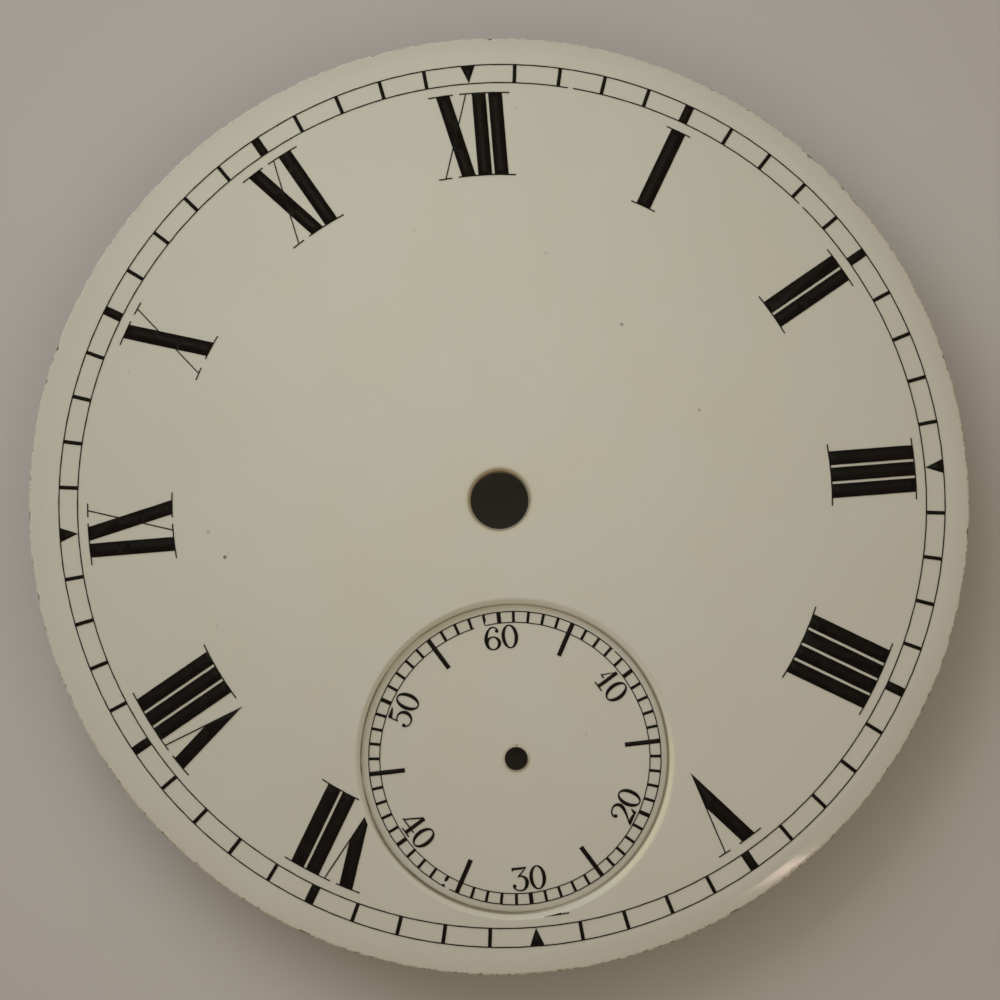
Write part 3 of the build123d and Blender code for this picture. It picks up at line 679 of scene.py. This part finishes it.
# The seconds disc
# A small dial of its own, sunk in the opening: enamel on copper on enamel, with its own bore.
# Dirt has filled the narrow gap round it.
seconds_layers = {"seconds_enamel": "white_enamel", "seconds_plate": "copper",
                  "seconds_counter_enamel": "counter_enamel"}
disc_edge_round = 0.02 * mm
dirt_width = seconds_fit - 0.004 * mm
seconds_bore = mounts["seconds_bore"]
seconds_bore_radius = seconds_bore["dims"]["r_mm"] * mm
seconds_bore_centre = Vector((seconds_bore["pos_m"][0], seconds_bore["pos_m"][1], 0))
seconds_bore_axis = tuple(seconds_bore_centre / mm)
bore_mm = seconds_bore_radius / mm
disc_mm = (disc_high.x - disc_low.x) / 2 / mm
disc_specks = [
    (3.17, -11.06, 0.06, 0.2), (-0.08, -11.31, 0.06, 0.5), (-3.77, -17.14, 0.08, 0.9),
    (-3.90, -17.42, 0.05, 0.8), (-3.80, -17.26, 0.04, 0.5),
]
seconds_enamel = enamel_material(
    "seconds_enamel_fired",
    [
        (opening_axis, disc_mm - 0.25, disc_mm, 0.5, thin_yellow, (0.9, -0.5, 0.0), 0.2),
        (seconds_bore_axis, bore_mm + 0.26, bore_mm + 0.06, 0.8, thin_yellow, (0.3, -0.95, 0.0), 0.4),
    ],
    disc_specks,
    [
        (opening_axis, disc_mm - 0.06, disc_mm - 0.01, 2.0, 0.55, (-0.87, 0.0, 0.0), 0.15),
        (seconds_bore_axis, bore_mm + 0.16, bore_mm + 0.02, 1.0, 0.70, (0.3, -1.0, 0.0), 0.25),
    ],
)
layer_materials = {"seconds_enamel": seconds_enamel, "seconds_plate": copper,
                   "seconds_counter_enamel": counter_enamel}
for node, slot in seconds_layers.items():
    low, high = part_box(node)
    layer_radius = (high.x - low.x) / 2
    if node == "seconds_enamel":
        layer_radius += dirt_width
    bm = bmesh.new()
    spin_profile(bm, [
        (layer_radius - 2 * disc_edge_round, low.z),
        (layer_radius, low.z),
        *roll(layer_radius - disc_edge_round, high.z - disc_edge_round, disc_edge_round,
              disc_edge_round, 0, 90, 4),
        (layer_radius - 3 * disc_edge_round, high.z),
    ], opening_centre, opening_steps)
    spin_profile(bm, [
        (seconds_bore_radius + 2 * disc_edge_round, high.z),
        *roll(seconds_bore_radius + disc_edge_round, high.z - disc_edge_round, disc_edge_round,
              disc_edge_round, 90, 180, 4),
        (seconds_bore_radius, low.z),
    ], seconds_bore_centre, bore_steps)
    fill_level(bm, low.z)
    fill_level(bm, high.z)
    finished_piece(bm, f"{node}_disc", [node], layer_materials[node])


# The solder
# Soft solder run into the corner behind the seconds disc holds it to the main plate. It froze
# uneven and has gone dull grey.
solder_edge = 0.06 * mm
solder_wave = 0.035 * mm
solder_wave_size = 0.9 * mm
solder_steps = 480
crown_steps = 8
solder_low, solder_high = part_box("seconds_solder")
disc_radius = (disc_high.x - disc_low.x) / 2
solder_outer = (solder_high.x - solder_low.x) / 2
solder_inner = disc_radius - solder_lap + solder_clearance
seconds_plate_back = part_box("seconds_plate")[0].z

bm = bmesh.new()
outer_height = plate_back - solder_edge
inner_height = seconds_plate_back - solder_edge
solder_width = (solder_outer - solder_inner) / 2
crown_points = []
for step in range(crown_steps + 1):
    share = step / crown_steps
    sag = math.sin(math.pi * share)
    base = outer_height + (inner_height - outer_height) * share
    lowest = base + (solder_low.z - (outer_height + inner_height) / 2) * sag
    crown_points.append((solder_outer - 2 * solder_width * share, max(lowest, solder_low.z)))
spin_profile(bm, [
    *crown_points,
    (solder_inner, seconds_plate_back),
    (disc_radius, seconds_plate_back),
    (disc_radius, plate_back),
    (solder_outer, plate_back),
], opening_centre, solder_steps, closed=True)
for vert in bm.verts:
    if vert.co.z < seconds_plate_back - solder_edge / 2:
        vert.co.z += solder_wave * (0.6 + noise.noise(vert.co / solder_wave_size))
solder_pale = (0.46, 0.455, 0.44)
solder_dull = (0.30, 0.30, 0.285)
solder = metal_material("dull_solder", solder_pale, solder_dull, cover=0.5, roughness=0.42,
                        grain_size=0.15, grain_depth=0.008)
finished_piece(bm, "seconds_solder_ring", ["seconds_solder"], solder)


# The fired paint
# The rings, strokes, numerals and figures are black enamel paint, laid on with a printed
# transfer and fired, so they stand a hair above the white with softened edges.
paint_black = (0.0060, 0.0038, 0.0028)
paint_brown = (0.0105, 0.0068, 0.0048)
paint_sheen = 0.09
paint_roughness = 0.34
thin_roughness = 0.5
paint_grain_depth = 0.004
black_paint, tree, shader = new_material("black_paint_fired")
thin_spots = use_group(tree, patches, {"Size": 0.5, "Cover": 0.42, "Softness": 0.15})
tree.links.new(mix_colours(tree, thin_spots, opaque(*paint_black), opaque(*paint_brown)),
               shader.inputs["Base Color"])
tree.links.new(mix_numbers(tree, thin_spots, paint_roughness, thin_roughness), shader.inputs["Roughness"])
shader.inputs["Specular IOR Level"].default_value = paint_sheen
height = use_group(tree, grain, {"Size": 0.12, "Detail": 2.0})
tree.links.new(bumped(tree, height, paint_grain_depth), shader.inputs["Normal"])

paint_edge = 0.006 * mm
wobble_size = 0.45 * mm
wobble_depth = 0.008 * mm
wobble_seed = 7
longest_edge = 0.12 * mm
outline_merge = 0.0005 * mm
straight_angle = math.radians(0.1)
noise.seed_set(wobble_seed)

# Where the paint has chipped off: node, and x, y and radius in millimetres
chips = [
    ("minute_inner_ring", 15.11, 12.68, 0.15), ("minute_inner_ring", 4.76, 19.01, 0.15),
    ("seconds_inner_ring", -1.36, -5.77, 0.32), ("seconds_ticks", -0.99, -5.62, 0.17),
    ("seconds_outer_ring", -1.22, -5.25, 0.06), ("seconds_outer_ring", 4.71, -7.30, 0.08),
    ("seconds_ticks", -3.83, -17.33, 0.14), ("seconds_outer_ring", -3.72, -17.56, 0.14),
]
chip_depth = 0.04 * mm
chip_steepness = 3


def painted_piece(node):
    """A painted mark from its CAD node's outline, with a hand-fired wobble and a softened top edge."""
    bm = bmesh.new()
    bm.from_mesh(frame["nodes"][node].data)
    bmesh.ops.remove_doubles(bm, verts=bm.verts, dist=outline_merge)
    bmesh.ops.dissolve_limit(bm, angle_limit=straight_angle, verts=bm.verts, edges=bm.edges)
    for edge in [e for e in bm.edges if e.calc_length() > longest_edge]:
        if edge.is_valid:
            cuts = int(edge.calc_length() / longest_edge)
            bmesh.ops.subdivide_edges(bm, edges=[edge], cuts=cuts, use_grid_fill=False)
    for vert in bm.verts:
        drift = noise.noise_vector(Vector((vert.co.x, vert.co.y, 0)) / wobble_size)
        vert.co.x += wobble_depth * drift.x
        vert.co.y += wobble_depth * drift.y
    tops = [f for f in bm.faces if f.normal.z > 0.9]
    rims = [e for face in tops for e in face.edges if any(abs(f.normal.z) < 0.5 for f in e.link_faces)]
    bmesh.ops.bevel(bm, geom=rims, offset=paint_edge, offset_type="OFFSET", segments=1, profile=0.5,
                    affect="EDGES", clamp_overlap=True, material=-1)
    bmesh.ops.triangulate(bm, faces=bm.faces, quad_method="BEAUTY", ngon_method="BEAUTY")
    for x, y, radius in [place for chipped, *place in chips if chipped == node]:
        for vert in bm.verts:
            away = math.hypot(vert.co.x - x * mm, vert.co.y - y * mm) / (radius * mm)
            vert.co.z -= chip_depth * min(max(chip_steepness * (1 - away), 0), 1)
    finished_piece(bm, f"{node}_paint", [node], black_paint)


for part in frame["record"]["subparts"]:
    if part["material_slot"] == "black_paint":
        painted_piece(part["node"])


# The stand
# A plain pale surface under the feet, painted darker under the dial as painted shade that darkens what
# shows through the bore, and darker away from the dial as a painted fall-off of the light. The room is
# warm, the main light cool and from the upper left, and three weak lamps show only in the gloss.
floor_tone = (0.692, 0.638, 0.573)
floor_grain = (0.676, 0.622, 0.556)
floor_half = 600 * mm
floor_near_mm = 24.0
floor_far_mm = 33.0
floor_painted_falloff_tone = (0.629, 0.575, 0.522)
under_dial_shade_tone = (0.38, 0.35, 0.32)
under_dial_shade_mm = 17.0
under_dial_shade_edge_mm = 1.0
floor_roughness = 0.85
sky_colour = (1.0, 0.911, 0.760)
sky_strength = 0.4615
overhead_colour = (0.20, 0.18, 0.15)
overhead_start = 0.86
overhead_end = 0.95
key_place = Vector((-104, 154, 115)) * mm
key_size = 200 * mm
key_power = 0.2258
key_colour = (0.7245, 0.829, 1.0)
sheen_place = Vector((-8, 42, 150)) * mm
sheen_size = 60 * mm
sheen_power = 0.0285
sheen_colour = (0.879, 1.0, 0.723)
crown_place = Vector((6, 14, 150)) * mm
crown_power = 0.0177
crown_colour = (1.0, 0.935, 0.794)
glint_place = Vector((46.3, -50.4, 171)) * mm
glint_size = 5 * mm
glint_length = 30 * mm
glint_power = 0.0050
glint_colour = (1.0, 0.70, 0.60)

floor_mesh = bpy.data.meshes.new("floor")
bm = bmesh.new()
bmesh.ops.create_grid(bm, x_segments=1, y_segments=1, size=floor_half)
bmesh.ops.translate(bm, verts=bm.verts, vec=(0, 0, cad_low.z))
bm.to_mesh(floor_mesh)
bm.free()
floor = bpy.data.objects.new("floor", floor_mesh)
bpy.context.scene.collection.objects.link(floor)
floor_material, tree, shader = new_material("pale_floor")
mottle = use_group(tree, patches, {"Size": 12.0, "Cover": 0.5, "Softness": 0.25})
colour = mix_colours(tree, mottle, opaque(*floor_tone), opaque(*floor_grain))
# the floor is painted darker away from the dial, from 24 to 33 mm out: a painted fall-off of the light
falloff_share = use_group(tree, ring_band, {"Axis": dial_axis, "Start": floor_near_mm, "Radius": floor_far_mm})
colour = mix_colours(tree, falloff_share, colour, opaque(*floor_painted_falloff_tone))
# painted shade: the floor is darker under the dial, so that the bore shows dark
under_dial_shade = use_group(tree, ring_band, {"Axis": dial_axis, "Start": under_dial_shade_mm + under_dial_shade_edge_mm, "Radius": under_dial_shade_mm})
tree.links.new(mix_colours(tree, under_dial_shade, colour, opaque(*under_dial_shade_tone)), shader.inputs["Base Color"])
shader.inputs["Roughness"].default_value = floor_roughness
floor_mesh.materials.append(floor_material)


def area_lamp(name, place, size, power, colour):
    """A square lamp that faces the dial."""
    lamp = bpy.data.lights.new(name, "AREA")
    lamp.size = size
    lamp.energy = power
    lamp.color = colour
    holder = bpy.data.objects.new(name, lamp)
    holder.location = place
    holder.rotation_euler = place.to_track_quat("Z", "Y").to_euler()
    bpy.context.scene.collection.objects.link(holder)
    return holder


key = area_lamp("key_lamp", key_place, key_size, key_power, key_colour)
key.visible_glossy = False
sheen = area_lamp("sheen_lamp", sheen_place, sheen_size, sheen_power, sheen_colour)
sheen.visible_diffuse = False
crown = area_lamp("crown_lamp", crown_place, sheen_size, crown_power, crown_colour)
crown.visible_diffuse = False
glint = area_lamp("glint_lamp", glint_place, glint_size, glint_power, glint_colour)
glint.visible_diffuse = False
glint.data.shape = "RECTANGLE"
glint.data.size_y = glint_length

# The room's light, which is weaker straight above, where the camera stands
sky = bpy.data.worlds.new("soft_sky")
sky.use_nodes = True
tree = sky.node_tree
direction = add_node(tree, "ShaderNodeTexCoord").outputs["Generated"]
height = add_node(tree, "ShaderNodeSeparateXYZ", {0: direction}).outputs["Z"]
overhead = add_node(tree, "ShaderNodeMapRange", {
    "Value": height, "From Min": overhead_start, "From Max": overhead_end,
}, interpolation_type="SMOOTHSTEP").outputs[0]
background = tree.nodes["Background"]
sky_tone = mix_colours(tree, overhead, opaque(*sky_colour), opaque(*overhead_colour))
tree.links.new(sky_tone, background.inputs["Color"])
background.inputs["Strength"].default_value = sky_strength
bpy.context.scene.world = sky
bpy.context.scene.view_settings.view_transform = "Standard"
